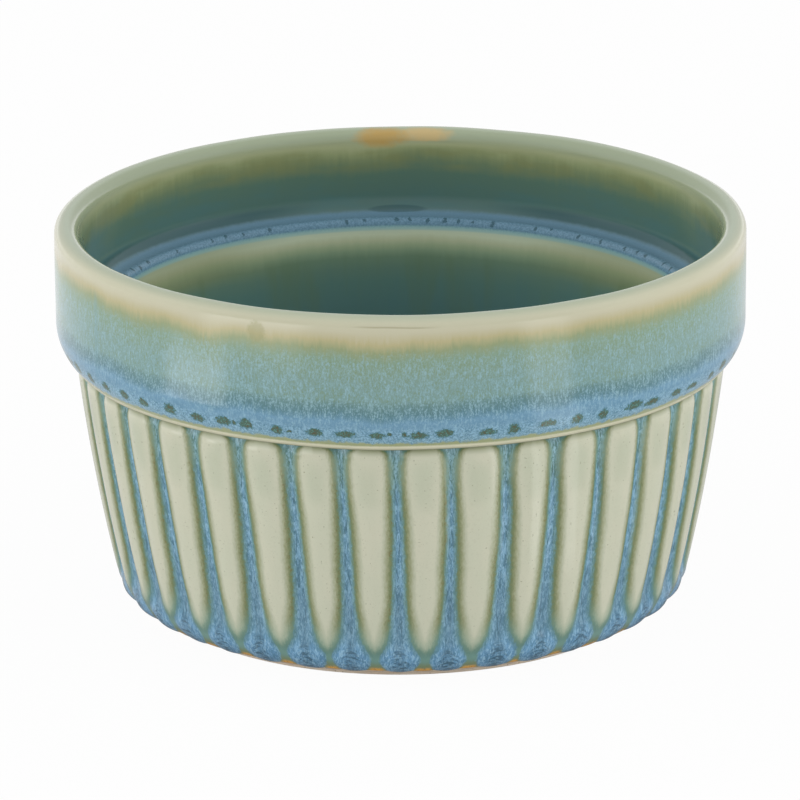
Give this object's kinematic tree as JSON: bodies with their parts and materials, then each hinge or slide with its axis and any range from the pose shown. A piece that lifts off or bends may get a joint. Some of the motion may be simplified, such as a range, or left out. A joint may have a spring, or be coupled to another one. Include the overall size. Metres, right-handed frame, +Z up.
{
  "type": "baking dish",
  "caption": "Round fluted stoneware baking dish with a plain collar, ribbed lower wall, inner ledge and bare foot ring, in a cream and blue reactive glaze.",
  "frame": {"origin": "centre of the foot ring's contact plane", "axes": "+Z up along the dish's axis, with a groove between two ribs facing -Y"},
  "size_m": [0.115, 0.115, 0.066],
  "materials": {
    "stoneware": "bare fired clay, matte",
    "collar_glaze": "glossy, sage green to blue",
    "rib_glaze": "glossy, thin and cream",
    "groove_glaze": "glossy, thick and blue",
    "inner_glaze": "glossy, deep green",
    "ledge_glaze": "glossy, pooled blue",
    "base_glaze": "glossy, thin"
  },
  "bodies": {
    "root": {"stoneware_body": "stoneware", "collar_glaze": "collar_glaze", "rib_glaze": "rib_glaze", "groove_glaze": "groove_glaze", "upper_wall_glaze": "inner_glaze", "ledge_glaze": "ledge_glaze", "bowl_glaze": "inner_glaze", "base_glaze": "base_glaze"}
  },
  "joints": []
}
